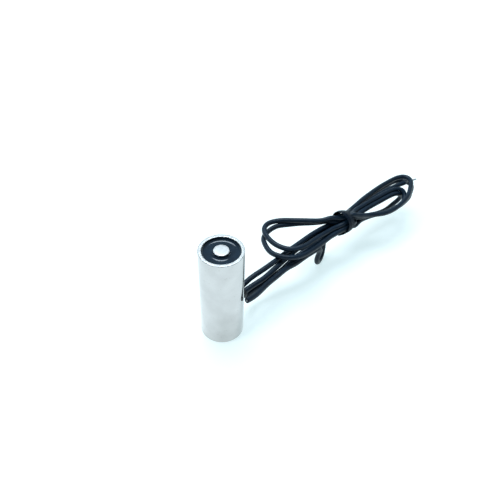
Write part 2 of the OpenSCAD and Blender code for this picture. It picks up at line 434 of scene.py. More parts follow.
def dress(piece: Object, finish: Finish, nodes: tuple[str, ...] = ()) -> None:
    """Finish a piece, and set it on the body in place of its plain solids.

    Args:
        piece: the piece.
        finish: its finish.
        nodes: the solids that it stands for.
    """
    piece.data.materials.clear()
    piece.data.materials.append(finish.material())
    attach(piece, BODY)
    if nodes:
        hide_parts(*nodes)
    log.info("%s in %s: %d faces", piece.name, finish.name, len(piece.data.polygons))


def turned(outline: Outline, segments: int) -> np.ndarray:
    """Turn an outline of radius and height about the Z axis, one ring for each of its points."""
    turn = np.arange(segments) / segments * 2 * math.pi
    return np.array([np.stack([r * np.cos(turn), r * np.sin(turn), np.full(segments, z)], 1)
                     for r, z in outline])


def arc(centre: tuple[float, float], radius: float, start_deg: float, end_deg: float, steps: int) -> Outline:
    """Points of a rounding in an outline, with both its ends."""
    angles = [math.radians(start_deg + (end_deg - start_deg) * i / steps) for i in range(steps + 1)]
    return [(centre[0] + radius * math.cos(a), centre[1] + radius * math.sin(a)) for a in angles]


def slot_ring(half: float, radius: float, steps: int = 24) -> np.ndarray:
    """Outline of a slot with round ends along Y, as points of Y and Z about its middle."""
    return np.array(arc((half, 0), radius, -90, 90, steps) + arc((-half, 0), radius, 90, 270, steps))


def smooth_line(points: list[Point], per_span: int = 12) -> np.ndarray:
    """Run one smooth line through given points.

    Args:
        points: the points, in millimetres.
        per_span: how many parts lie between two points.

    Returns:
        The line's points.
    """
    p = np.array(points, float)
    p = np.vstack([2 * p[0] - p[1], p, 2 * p[-1] - p[-2]])
    line = []
    for before, here, there, after in zip(p, p[1:], p[2:], p[3:]):
        gaps = [np.linalg.norm(b - a) ** 0.5 for a, b in ((before, here), (here, there), (there, after))]
        t1, t2, t3 = np.cumsum(gaps)
        for t in np.linspace(t1, t2, per_span, endpoint=False):
            a1 = ((t1 - t) * before + t * here) / t1
            a2 = ((t2 - t) * here + (t - t1) * there) / (t2 - t1)
            a3 = ((t3 - t) * there + (t - t2) * after) / (t3 - t2)
            b1 = ((t2 - t) * a1 + t * a2) / t2
            b2 = ((t3 - t) * a2 + (t - t1) * a3) / (t3 - t1)
            line.append(((t2 - t) * b1 + (t - t1) * b2) / (t2 - t1))
    return np.array(line + [p[-2]])


def run_along(line: np.ndarray) -> np.ndarray:
    """Distance of each point along a line, from its start."""
    return np.concatenate([[0], np.cumsum(np.linalg.norm(np.diff(line, axis=0), axis=1))])


def towards(start: np.ndarray, end: np.ndarray) -> np.ndarray:
    """Direction from one point to another, with a length of 1."""
    return (end - start) / np.linalg.norm(end - start)


def headings(line: np.ndarray) -> np.ndarray:
    """Direction of a line at each of its points, with a length of 1."""
    heading = np.gradient(line, axis=0)
    return heading / np.linalg.norm(heading, axis=1, keepdims=True)


def spaced(line: np.ndarray, step: float) -> np.ndarray:
    """Space a line's points evenly.

    Args:
        line: the line's points, in millimetres.
        step: the distance wanted between points.

    Returns:
        The new points.
    """
    run = run_along(line)
    stops = np.linspace(0, run[-1], max(2, round(run[-1] / step)) + 1)
    return np.stack([np.interp(stops, run, line[:, k]) for k in range(3)], 1)


def sweep(line: np.ndarray, sides: int, radius: float) -> np.ndarray:
    """Rings of a round tube along a line, without twist.

    Args:
        line: the line's points, in millimetres.
        sides: points in a ring.
        radius: the tube's radius.

    Returns:
        The rings.
    """
    heading = headings(line)
    side = np.cross(heading[0], (0, 0, 1))
    turn = np.arange(sides) / sides * 2 * math.pi
    rings = []
    for at, along in zip(line, heading):
        side = side - along * (side @ along)
        side /= np.linalg.norm(side)
        up = np.cross(along, side)
        rings.append(at + radius * (np.outer(np.cos(turn), side) + np.outer(np.sin(turn), up)))
    return np.array(rings)


@dataclass
class Pot:
    """Steel shell, pole piece and poured face of the magnet, in millimetres."""

    shell_r: float = 5.0
    bore_r: float = 4.2
    height: float = 25.0
    rim_round: float = 0.15
    rim_steps: int = 8
    foot_round: float = 0.3
    foot_steps: int = 10
    pole_r: float = 1.75
    base_t: float = 7.0
    base_chamfer: float = 0.12
    press_gap: float = 0.01
    thread_r: float = 1.25
    thread_depth: float = 5.5
    thread_mouth: float = 0.3
    thread_pitch: float = 0.5
    groove: float = 0.25
    groove_half: float = 0.44
    drill_point: float = 0.6
    potting_drop: float = 0.9
    potting_t: float = 0.6
    wet_h: float = 0.35
    wet_w: float = 0.7
    wet_curve: float = 2.4
    wet_steps: int = 14
    exit_z: float = 8.8
    lead_pitch: float = 1.6
    bush_h: float = 2.0
    segments: int = 192

    # A face is level when its normal stands this near to upright
    level: float = 0.9

    def build(self) -> None:
        """Make and dress the shell, the pole piece and the poured face."""
        shell = self.shell()
        dress(shell, NICKEL_SHELL, ("shell",))
        self.face_rim(shell)
        pole = self.pole()
        dress(pole, NICKEL_POLE, ("pole_piece",))
        for piece in (shell, pole):
            self.wet_wall(piece)
        dress(self.poured_face(), EPOXY, ("face_potting",))

    def shell(self) -> Object:
        """Tube with rounded rim and foot, and the slot that the leads leave by.

        Returns:
            The shell.
        """
        rim, foot = self.rim_round, self.foot_round
        outline = [(self.bore_r, 0.0)]
        outline += arc((self.shell_r - foot, foot), foot, -90, 0, self.foot_steps)
        outline += arc((self.shell_r - rim, self.height - rim), rim, 0, 90, self.rim_steps)
        outline += arc((self.bore_r + rim, self.height - rim), rim, 90, 180, self.rim_steps)
        outline += [(self.bore_r, self.height - self.potting_drop)]
        shell = skin("pot_shell", turned(outline, self.segments), loop=True)
        ring = slot_ring(self.lead_pitch / 2, self.bush_h / 2)
        ends = [np.column_stack([np.full(len(ring), x), ring[:, 0], ring[:, 1] + self.exit_z])
                for x in (self.bore_r - CUT_PAST, self.shell_r + CUT_PAST)]
        cut(shell, [skin("slot_tool", np.array(ends))])
        return shell

    def face_rim(self, shell: Object) -> None:
        """Give the shell's ends and bore the faced finish.

        Args:
            shell: the dressed shell.
        """
        shell.data.materials.append(NICKEL_POLE.material())
        for face in shell.data.polygons:
            if abs(face.normal.z) > self.level or face.normal.xy.dot(face.center.xy) < 0:
                face.material_index = 1

    def wet_wall(self, piece: Object) -> None:
        """Leave a film of epoxy on the wall that it crept up, from its level to the rounded edge.

        Args:
            piece: the dressed shell or pole piece.
        """
        film = len(piece.data.materials)
        piece.data.materials.append(EPOXY.material())
        low, high = (self.height - self.potting_drop) * MM, (self.height - self.rim_round) * MM
        for face in piece.data.polygons:
            if low < face.center.z < high and face.center.xy.length < (self.bore_r + self.rim_round / 2) * MM:
                face.material_index = film

    def pole(self) -> Object:
        """Pole and base in one, with the tapped hole in its back.

        Returns:
            The pole piece.
        """
        base_r = self.bore_r - self.press_gap
        rim = self.rim_round
        outline = [(0.0, self.height), (self.pole_r * 0.5, self.height)]
        outline += arc((self.pole_r - rim, self.height - rim), rim, 90, 0, self.rim_steps)
        outline += [(self.pole_r, self.height - self.potting_drop), (self.pole_r, self.base_t)]
        outline += [(base_r, self.base_t), (base_r, self.base_chamfer)]
        outline += [(base_r - self.base_chamfer, 0.0), (self.thread_r + self.thread_mouth, 0.0)]
        end = [(self.thread_r, self.thread_depth), (0.0, self.thread_depth + self.drill_point)]
        rows = [turned(outline, self.segments), self.thread_rows(), turned(end, self.segments)]
        return skin("pole_and_base", np.concatenate(rows), 30)

    def thread_rows(self, per_pitch: int = 10) -> np.ndarray:
        """Rings of the tapped hole, with its groove winding up from the mouth.

        Args:
            per_pitch: rings in one pitch of the thread.

        Returns:
            The rings, from the mouth inwards.
        """
        turn = np.arange(self.segments) / self.segments
        angle = turn * 2 * math.pi
        pitch = self.thread_pitch
        rows = []
        for z in np.arange(1, int(self.thread_depth / pitch * per_pitch)) * pitch / per_pitch:
            phase = (z / pitch - turn) % 1
            depth = self.groove * np.clip(1 - np.abs(phase - 0.5) / self.groove_half, 0, 1)
            depth *= min(1, max(0, (self.thread_depth - pitch / 2 - z) / pitch))
            radius = np.maximum(self.thread_r + depth, self.thread_r + self.thread_mouth - z)
            ring = [radius * np.cos(angle), radius * np.sin(angle), np.full(self.segments, z)]
            rows.append(np.stack(ring, 1))
        return np.array(rows)

    def poured_face(self) -> Object:
        """Epoxy ring that rises where it wets the steel.

        Returns:
            The epoxy ring.
        """
        top = self.height - self.potting_drop
        bottom = top - self.potting_t
        inner, outer = self.pole_r + self.press_gap, self.bore_r - self.press_gap
        steps = self.wet_steps
        rise = [(self.wet_w * i / steps, self.wet_h * (1 - i / steps) ** self.wet_curve)
                for i in range(steps + 1)]
        outline = [(inner, bottom)] + [(inner + x, top + z) for x, z in rise]
        outline += [(outer - x, top + z) for x, z in reversed(rise)] + [(outer, bottom)]
        return skin("poured_face", turned(outline, self.segments), 50, loop=True)


@dataclass
class LeadBush:
    """Rubber bush in the shell's slot, with a rounded collar that follows the shell, in millimetres."""

    shell_r: float = 5.0
    inner_x: float = 3.8
    outer_x: float = 5.9
    exit_z: float = 8.8
    lead_pitch: float = 1.6
    lead_r: float = 0.65
    neck_r: float = 0.95
    lip: float = 0.4
    lip_edge: float = 0.06
    round_over: float = 0.3
    round_steps: int = 6
    clearance: float = 0.01
    bore_sides: int = 32
    sharp_deg: float = 40.0

    def build(self) -> Object:
        """Make and dress the bush.

        Returns:
            The bush.
        """
        half = self.lead_pitch / 2
        wide = self.neck_r + self.lip
        rows = [self.row(half, self.neck_r, self.inner_x), self.row(half, self.neck_r, None),
                self.row(half, wide - self.lip_edge, None), self.row(half, wide, None, self.lip_edge)]
        for step in range(self.round_steps + 1):
            a = math.radians(90 * step / self.round_steps)
            x = self.outer_x - self.round_over * (1 - math.sin(a))
            rows.append(self.row(half, wide - self.round_over * (1 - math.cos(a)), x))
        bush = skin("lead_bush", np.array(rows), self.sharp_deg)
        cut(bush, [self.bore(y) for y in (half, -half)], self.sharp_deg)
        dress(bush, RUBBER, ("lead_grommet",))
        return bush

    def row(self, half: float, radius: float, x: float | None, off: float = 0.0) -> np.ndarray:
        """One outline of the bush.

        Args:
            half: half the spacing of the slot's round ends.
            radius: radius of those ends.
            x: where it lies, or nothing where it follows the shell's wall.
            off: distance from the shell's wall.

        Returns:
            The outline's points.
        """
        ring = slot_ring(half, radius)
        wall = np.sqrt((self.shell_r + self.clearance) ** 2 - ring[:, 0] ** 2) + off
        along = wall if x is None else np.full(len(ring), x)
        return np.column_stack([along, ring[:, 0], ring[:, 1] + self.exit_z])

    def bore(self, y: float) -> Object:
        """Round solid that opens the bush for a lead.

        Args:
            y: the lead's place across the bush.

        Returns:
            The solid.
        """
        turn = np.arange(self.bore_sides) / self.bore_sides * 2 * math.pi
        r = self.lead_r + self.clearance
        ends = [np.column_stack([np.full(len(turn), x), y + r * np.cos(turn), self.exit_z + r * np.sin(turn)])
                for x in (self.inner_x - CUT_PAST, self.outer_x + CUT_PAST)]
        return skin("bore_tool", np.array(ends))


# Routes of the two leads, in millimetres: the first points are those of the part's source, the rest run
# through the folded hank as its strands lie
LEAD_A_ROUTE: list[Point] = [
    # out of the bush to the tie
    (3.1, 0.8, 8.8), (6.5, 0.8, 8.8), (7.5, 0.8, 9.055), (8.5, 0.8, 9.395), (10, 0.8, 9.735), (12, 0.8, 9.82),
    (16, 0.9, 10), (21.5, 1.4, 10.1), (26, 1.7, 10.1), (31.5, 2, 10.1), (36, 1.9, 10), (38.5, 1.6, 10.3),
    (41.5, 1, 11.6),
    # far loop, outside
    (46, 2, 10.5), (52, 3, 10.5), (59.8, 3.6, 10.5), (62.8, 3.6, 10.5), (65.6, 3.4, 10.6), (67.6, 3, 10.7),
    (68.9, 2.3, 10.8), (69.5, 1.3, 10.8), (69.3, 0.2, 10.8), (68.5, -0.8, 10.8), (67.1, -1.8, 10.8),
    (65.4, -2.8, 10.7), (63.4, -3.9, 10.6), (61, -4.6, 10.5), (58.3, -5, 10.5), (55.5, -5.2, 10.5),
    (52.2, -4.7, 10.5), (50.1, -3.8, 10.6), (48, -2.8, 10.8), (45.5, -2, 11.4), (43.5, -1.4, 12),
    (41.5, -0.7, 12.2),
    # near loop that lies on top
    (39.3, 0.6, 12), (37.6, 1.7, 12), (34.8, 3.2, 12), (32, 5.5, 12), (29, 8, 12), (26.5, 10, 12),
    (25, 10.6, 12), (23.8, 10.8, 12), (22.7, 10.5, 12), (21.8, 9.9, 12), (21, 8.9, 12), (20.5, 7.7, 12),
    (20.1, 6, 12), (20, 4.2, 12), (20.3, 2.6, 12), (21.2, 0.8, 12), (22.6, -0.4, 12), (25, -1, 11.8),
    (28, -0.9, 11.6), (31, -0.6, 11.3), (34, -0.4, 10.9), (36, -0.4, 10.9), (38.4, -0.7, 10.8),
    (41.5, -1.6, 11.2),
    # far loop, inside
    (46, 0.9, 10.8), (51, 0.9, 10.5), (54.6, 0.7, 10.4), (59.5, 0.5, 10.5), (61.7, 0.4, 10.5),
    (63.3, 0, 10.4), (64.2, -0.8, 10.1), (64.4, -1.8, 9.6), (63.8, -2.8, 9), (62.4, -3.6, 8.7),
    (61, -3.8, 8.6), (58.2, -3.9, 8.6), (56.4, -3.7, 8.6), (54.3, -3.2, 8.6), (52.3, -2.4, 8.6),
    (49.8, -1.7, 8.7), (47.5, -1.4, 8.9), (45, -1.4, 9.1), (41.5, -1.2, 9.2),
    # fold beside the pot
    (37, -0.5, 9), (33, -0.2, 9), (27.4, -0.5, 8.8), (23.3, -0.45, 8.5), (19.8, -0.6, 8), (17.4, -0.7, 7.7),
    (14.2, -0.9, 7.5), (11.5, -1.05, 7.5), (9.5, -0.9, 7.3), (8.2, -0.6, 6.7), (7.6, -0.2, 5.5),
    (8.1, 0.3, 4.1), (9.5, 0.7, 3.4), (11.5, 0.9, 3.4), (14.5, 0.9, 3.9), (18.5, 0.8, 4.9), (23, 0.7, 6.1),
    (28, 0.6, 7.3), (33, 0.5, 8.3), (37, 0.4, 8.9), (41.5, 1, 9.4),
    # out to the tinned end
    (46, 1.3, 9.5), (51, 2, 9.4), (57, 2.2, 9.5), (61, 2, 9.7), (64, 1.6, 9.8), (66, 1.3, 9.8),
    (68, 0.9, 9.8),
]
LEAD_B_ROUTE: list[Point] = [
    # out of the bush to the tie
    (3.1, -0.8, 8.8), (6.5, -0.8, 8.8), (8.5, -0.8, 8.885), (10, -0.8, 8.97), (12, -0.8, 8.97),
    (15.8, -0.2, 9.05), (18.1, 0.2, 9.05), (20.2, 0.65, 9), (23.7, 1.2, 8.95), (25.7, 1.45, 8.9),
    (31, 1.7, 9), (36, 1.7, 9), (38.5, 1.7, 9.4), (41.5, 1.5, 10.4),
    # far loop, outside
    (46, 2.5, 9.1), (53, 3.8, 8.9), (60.9, 4.2, 8.8), (64.1, 4.1, 8.7), (66.8, 4.0, 8.8), (68.6, 3.3, 8.8),
    (69.7, 2.2, 8.8), (70.2, 1, 8.8), (70, 0, 8.9), (69.1, -1, 9.1), (67.7, -1.9, 9.2), (65.9, -2.8, 9.3),
    (63.9, -3.7, 9.5), (62.2, -4.1, 9.5), (60.4, -4.4, 9.5), (58.4, -4.5, 9.5), (56.4, -4.3, 9.5),
    (53.7, -3.8, 9.5), (51.4, -2.9, 9.6), (49.1, -2.1, 9.8), (46.7, -1.6, 10.1), (44.1, -1, 10.4),
    (41.5, -0.2, 10.6),
    # near loop that lies below
    (39.8, 0.8, 10.8), (38, 1.9, 11), (36, 3.1, 11), (33.7, 4.6, 11), (30.7, 6.8, 11), (28.2, 8.3, 11),
    (26.2, 9.3, 11), (24.5, 9.6, 10.9), (23, 9.5, 10.8), (21.6, 9.2, 10.7), (20.5, 8.6, 10.7),
    (19.7, 7.7, 10.8), (18.9, 6.4, 11), (18.3, 4.9, 11), (18, 3.3, 11), (18.2, 1.7, 11), (18.9, 0.3, 11),
    (19.9, -0.8, 11), (21.2, -1.6, 11), (22.5, -2.1, 10.8), (24.5, -2.3, 10.6), (27.7, -2.2, 10.4),
    (31.3, -1.9, 10.2), (34, -1.5, 10), (37.5, -1.5, 9.9), (41.5, -1.8, 10),
    # far loop, inside
    (45, -0.7, 10.3), (49.5, 0, 10.2), (52.8, 0.2, 10.2), (55.5, 0, 10.2), (58, -0.1, 10.2),
    (60.3, -0.4, 10.1), (62.4, -0.8, 9.7), (63.9, -1, 8.9), (64.6, -1, 7.8), (64.5, -0.7, 6.7),
    (63.6, -0.4, 5.9), (61.9, -0.4, 5.6), (58.5, -0.8, 5.8), (54.7, -0.6, 6.4), (50.5, 0, 7.3), (46, 0, 8.2),
    (41.5, -0.3, 8.7),
    # slack that hangs to the floor
    (39.4, 1, 8.1), (38, 1.9, 6.9), (36.8, 2.2, 5.1), (36.5, 1.9, 3.3), (36.1, 1.6, 2), (35.3, 1.1, 1),
    (34, 0.5, 0.65), (32.6, -0.1, 1), (31.6, -0.5, 2), (31.3, -0.7, 4.2), (31.6, -0.9, 5.4),
    (31.5, -1.1, 6.5), (31, -1.4, 7.5), (30, -1.4, 8.2),
    # back to a free end beside the pot
    (28.4, -1.2, 8.3), (26, -1, 8.1), (22.9, -1.2, 8.1), (19.9, -1.5, 8.5), (16.9, -2, 8.9), (14.3, -2.4, 9),
    (11.7, -2.8, 9.2), (7.4, -4, 9.8), (5, -4.5, 10.3), (3.5, -4.6, 10.6),
]


@dataclass
class Leads:
    """The two PVC leads, each one length of wire folded into the hank, in millimetres."""

    diameter: float = 1.3
    length_a: float = 302.0
    length_b: float = 257.0
    exit_x: float = 5.9
    exit_y: float = 0.8
    exit_z: float = 8.8
    sides: int = 20
    sharp_deg: float = 60.0

    # Edge of a cut end: share of the radius, and how far it stands past the line's end
    cut_edge: tuple[tuple[float, float], ...] = ((0.96, 0.08), (0.86, 0.13), (0.7, 0.14))
    cut_mouth: float = 0.1
    cut_depth: float = 0.4

    # Conductor: six strands laid round one, close enough to bed into each other
    conductor: float = 0.5
    conductor_gap: float = 0.02
    outer_strands: int = 6
    strand_sides: int = 10
    lay_mm: float = 7.0
    bedding: float = 0.94
    core_reach: tuple[float, ...] = (-0.35, -0.2, -0.05, 0.06)

    # Tinned end: where it starts in the insulation, how far it runs straight on, its bow and its tip
    tip_start: float = 0.3
    tip_straight: float = 0.4
    tip_bow: Point = (0.0, 0.12, 0.0)
    tip_step: float = 0.3
    tip_end: Point = (72.0, -0.2, 9.85)

    # Settling: what the strands push against, and how strongly they keep their place and their curves
    pot_r: float = 5.0
    pot_gap: float = 0.05
    neck_x: float = 41.1
    neck_yz: tuple[float, float] = (-0.2, 10.75)
    neck_r: float = 2.4
    neck_w: float = 2.6
    step: float = 0.65
    fine_step: float = 0.45
    held: int = 10
    rounds: int = 200
    pull: float = 0.04
    spring: float = 0.0625
    ease: float = 0.6
    near_diameters: float = 3.0
    apart: int = 6

    def build(self, on_them: list[Object]) -> None:
        """Lay, make and dress both leads and their bare ends.

        Args:
            on_them: the pieces that both leads pass through; not used.
        """
        line_a, line_b = self.settled()
        tip = self.tinned_end(line_a)
        lead_a = self.tube("lead_a_pvc", line_a)
        lead_b = self.tube("lead_b_pvc", line_b)
        core = self.cut_core(line_b)
        dress(tip, TIN, ("lead_tip",))
        dress(core, TIN)
        dress(lead_a, PVC, ("lead_a", "lead_hank"))
        dress(lead_b, PVC, ("lead_b",))

    def settled(self) -> list[np.ndarray]:
        """Let the strands push each other aside until they lie side by side.

        Returns:
            The settled line of each lead.
        """
        lines = [spaced(smooth_line(r), self.step) for r in (LEAD_A_ROUTE, LEAD_B_ROUTE)]
        at = np.vstack(lines)
        lead = np.repeat([0, 1], [len(p) for p in lines])
        index = np.concatenate([np.arange(len(p)) for p in lines])
        wanted = at.copy()
        fixed = index < self.held
        ends = np.isin(np.arange(len(at)), [0, len(lines[0]) - 1, len(lines[0]), len(at) - 1])
        inner = np.nonzero(~ends)[0]
        first, second = np.triu_indices(len(at), 1)
        near = np.linalg.norm(at[first] - at[second], axis=1) < self.near_diameters * self.diameter
        near &= (lead[first] != lead[second]) | (np.abs(index[first] - index[second]) > self.apart)
        first, second = first[near], second[near]
        neck = np.abs(at[:, 0] - self.neck_x) < self.neck_w / 2
        tie = np.array(self.neck_yz)
        room = self.neck_r - self.diameter / 2
        for _ in range(self.rounds):
            at += self.pull * (wanted - at)
            bend = np.zeros_like(at)
            bend[inner] = at[inner - 1] + at[inner + 1] - 2 * at[inner]
            change = np.zeros_like(at)
            change[inner] = bend[inner - 1] + bend[inner + 1] - 2 * bend[inner]
            at -= self.spring * change
            gap = at[second] - at[first]
            far = np.maximum(np.linalg.norm(gap, axis=1), 1e-6)
            push = np.where(far < self.diameter, 0.5 * (self.diameter - far) / far, 0)[:, None] * gap
            touching = (far < self.diameter).astype(float)
            move = np.zeros_like(at)
            count = np.zeros(len(at))
            for where, sign in ((first, -1), (second, 1)):
                np.add.at(move, where, sign * push)
                np.add.at(count, where, touching)
            at += move / np.maximum(1, self.ease * count)[:, None]
            off = np.maximum(np.linalg.norm(at[neck, 1:] - tie, axis=1), 1e-6)
            at[neck, 1:] = tie + (at[neck, 1:] - tie) * np.minimum(1, room / off)[:, None]
            at[:, 2] = np.maximum(at[:, 2], self.diameter / 2)
            out = np.maximum(np.linalg.norm(at[:, :2], axis=1), 1e-6)
            at[:, :2] *= np.maximum(1, (self.pot_r + self.diameter / 2 + self.pot_gap) / out)[:, None]
            at[fixed] = wanted[fixed]
        return [spaced(smooth_line(at[lead == k].tolist(), 4), self.fine_step) for k in (0, 1)]

    def tube(self, name: str, line: np.ndarray) -> Object:
        """Insulation of a lead, cut square with softened edges and open round its conductor.

        Args:
            name: the piece's name.
            line: the line that it follows.

        Returns:
            The insulation.
        """
        r = self.diameter / 2
        bore = (self.conductor / 2 + self.conductor_gap) / r
        rings = sweep(line, self.sides, r)
        out = towards(line[-2], line[-1])
        last = rings[-1] - line[-1]
        ends = [line[-1] + last * share + out * reach for share, reach in
                (*self.cut_edge, (bore, self.cut_mouth), (bore, -self.cut_depth))]
        rows = np.concatenate([rings, np.array(ends)])
        return skin(name, rows, self.sharp_deg, lengths=run_along(rows.mean(axis=1)))

    def strands(self, name: str, line: np.ndarray) -> Object:
        """Twisted strands of a conductor along a line.

        Args:
            name: the piece's name.
            line: the conductor's line.

        Returns:
            The strands as one piece.
        """
        count = self.outer_strands
        wire_r = self.conductor / 6
        rings = sweep(line, count, 2 * wire_r * self.bedding)
        rows = np.arange(len(line))
        paths = [line]
        for k in range(count):
            turn = run_along(line) / self.lay_mm * count + k
            low = np.floor(turn).astype(int)
            share = (turn - low)[:, None]
            paths.append((1 - share) * rings[rows, low % count] + share * rings[rows, (low + 1) % count])
        wires = [skin(f"{name}_{k}", sweep(path, self.strand_sides, wire_r), self.sharp_deg)
                 for k, path in enumerate(paths)]
        return joined(name, wires, self.sharp_deg)

    def tinned_end(self, line: np.ndarray) -> Object:
        """Bare tinned end of lead a, running on out of its insulation under the far loop.

        Args:
            line: the line of lead a.

        Returns:
            The tinned strands.
        """
        start = line[-1] - (line[-1] - line[-3]) * self.tip_start
        straight = line[-1] + self.tip_straight * towards(line[-4], line[-1])
        middle = (line[-1] + np.array(self.tip_end)) / 2 + self.tip_bow
        points = [tuple(start), tuple(straight), tuple(middle), self.tip_end]
        return self.strands("lead_a_tinned_end", spaced(smooth_line(points), self.tip_step))

    def cut_core(self, line: np.ndarray) -> Object:
        """Conductor seen in the cut end of lead b."""
        out = towards(line[-2], line[-1])
        return self.strands("lead_b_cut_core", np.array([line[-1] + out * reach for reach in self.core_reach]))


@dataclass
class TwistTie:
    """Ribbon with a wire in it, wound twice round the hank's neck, in millimetres."""

    middle_y: float = -0.2
    middle_z: float = 10.85
    radius: float = 2.54
    width: float = 1.9
    flare: float = 0.5
    edge_t: float = 0.2
    bevel: float = 0.06
    wire_d: float = 0.28
    wire_cover: float = 0.05
    wire_past: float = 0.12
    wire_sides: int = 10
    hump_foot: float = 0.45
    hump_side: float = 0.2
    hump_share: float = 0.85
    step: float = 0.25

    # Each station: degrees round the neck from the far side over the top, place along X, height off the neck
    stations: tuple[tuple[float, float, float], ...] = (
        (-20, 40.9, 0), (30, 41, 0), (70, 41, 0), (110, 41, 0), (150, 41, 0), (190, 41, 0), (230, 41, 0),
        (270, 40.95, 0), (310, 40.8, 0.02), (340, 40.6, 0.18), (370, 40.45, 0.3), (410, 40.4, 0.3),
        (450, 40.4, 0.3), (490, 40.4, 0.3), (530, 40.4, 0.3), (565, 40.3, 0.3), (590, 39.9, 0.3),
        (608, 39.3, 0.3), (622, 38.6, 0.3),
    )

    def build(self) -> list[Object]:
        """Make and dress the ribbon and its wire.

        Returns:
            The ribbon and the wire.
        """
        line = spaced(smooth_line([self.place(*s) for s in self.stations]), self.step)
        ribbon = self.ribbon(line)
        first = line[0] + towards(line[1], line[0]) * self.wire_past
        last = line[-1] + towards(line[-2], line[-1]) * self.wire_past
        wire = skin("tie_wire", sweep(np.vstack([first, line, last]), self.wire_sides, self.wire_d / 2), 60)
        dress(ribbon, RIBBON, ("twist_tie",))
        dress(wire, ZINC_WIRE)
        return [ribbon, wire]

    def place(self, turn_deg: float, x: float, off: float) -> Point:
        """Point of the ribbon's middle, from degrees round the neck, place along X and height off the neck."""
        a, r = math.radians(turn_deg), self.radius + off
        return (x, self.middle_y + r * math.cos(a), self.middle_z + r * math.sin(a))

    def ribbon(self, line: np.ndarray) -> Object:
        """Ribbon along its line, thicker over its wire, its outer edge standing open over the neck's top.

        Args:
            line: the ribbon's line.

        Returns:
            The ribbon.
        """
        half_w, half_t = self.width / 2, self.edge_t / 2
        top = self.wire_d / 2 + self.wire_cover
        left = [(-half_w, 0), (-half_w + self.bevel, half_t), (-self.hump_foot, half_t),
                (-self.hump_side, top * self.hump_share)]
        shape = left + [(0, top)] + [(-x, z) for x, z in reversed(left)]
        shape += [(-x, -z) for x, z in shape[1:-1]]
        rows = []
        for at, along in zip(line, headings(line)):
            lift = at - np.array([at[0], self.middle_y, self.middle_z])
            lift -= along * (lift @ along)
            lift /= np.linalg.norm(lift)
            across = np.cross(lift, along)
            open_up = self.flare * max(0.0, lift[2])
            rows.append([at + across * x + lift * (z + open_up * (0.5 - x / self.width)) for x, z in shape])
        return skin("tie_ribbon", np.array(rows), 50, lengths=run_along(line))


class Inside(Enum):
    """Pieces shut inside the pot, with their finish and slot."""

    BASE_WASHER = ("base_washer", FIBRE, "fibre_washer")
    BOBBIN = ("bobbin", NYLON, "moulded_nylon")
    WINDING = ("winding", ENAMEL, "enamelled_copper")
    COIL_TAPE = ("coil_tape", TAPE, "polyester_tape")
    START_TAIL = ("start_tail", ENAMEL, "enamelled_copper")
    FINISH_TAIL = ("finish_tail", ENAMEL, "enamelled_copper")
    START_JOINT = ("start_joint", TIN, "tinned_copper")
    FINISH_JOINT = ("finish_joint", TIN, "tinned_copper")
    START_SLEEVE = ("start_sleeve", SLEEVING, "sleeving")
    FINISH_SLEEVE = ("finish_sleeve", SLEEVING, "sleeving")
    CHAMBER_POTTING = ("chamber_potting", EPOXY, "epoxy_potting")

    def dress(self) -> None:
        """Finish the solid where it stands."""
        node, finish, slot = self.value
        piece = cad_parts[node]
        piece.data.materials.clear()
        piece.data.materials.append(finish.material())
        log.info("%s in %s", node, finish.name)


@dataclass(frozen=True)
class Softbox:
    """A round soft lamp: where it hangs and how wide it is, in millimetres, and its light."""

    name: str
    way: Point
    distance: float
    size: float
    watts: float
    tone: str
    mirrored: bool = True

    def hang(self, aim: Vector) -> None:
        """Hang the lamp and turn it to the object.

        Args:
            aim: what it points at, in metres.
        """
        data = bpy.data.lights.new(self.name, "AREA")
        data.shape = "DISK"
        data.size = self.size * MM
        data.energy = self.watts
        data.color = linear(self.tone)[:3]
        lamp = placed(self.name, data)
        at = aim + Vector(self.way).normalized() * self.distance * MM
        lamp.location = at
        lamp.rotation_euler = (aim - at).to_track_quat("-Z", "Y").to_euler()
        lamp.visible_glossy = self.mirrored


# The key only fills: out of the mirror, it leaves no hard glints in the poured face
KEY = Softbox("key_softbox", (-1.25, 0.44, 1.0), 900.0, 420.0, 3.4, "#fbfcff", mirrored=False)
TOP = Softbox("top_softbox", (0.11, 0.275, 0.95), 750.0, 490.0, 5.2, "#e0f2ff")


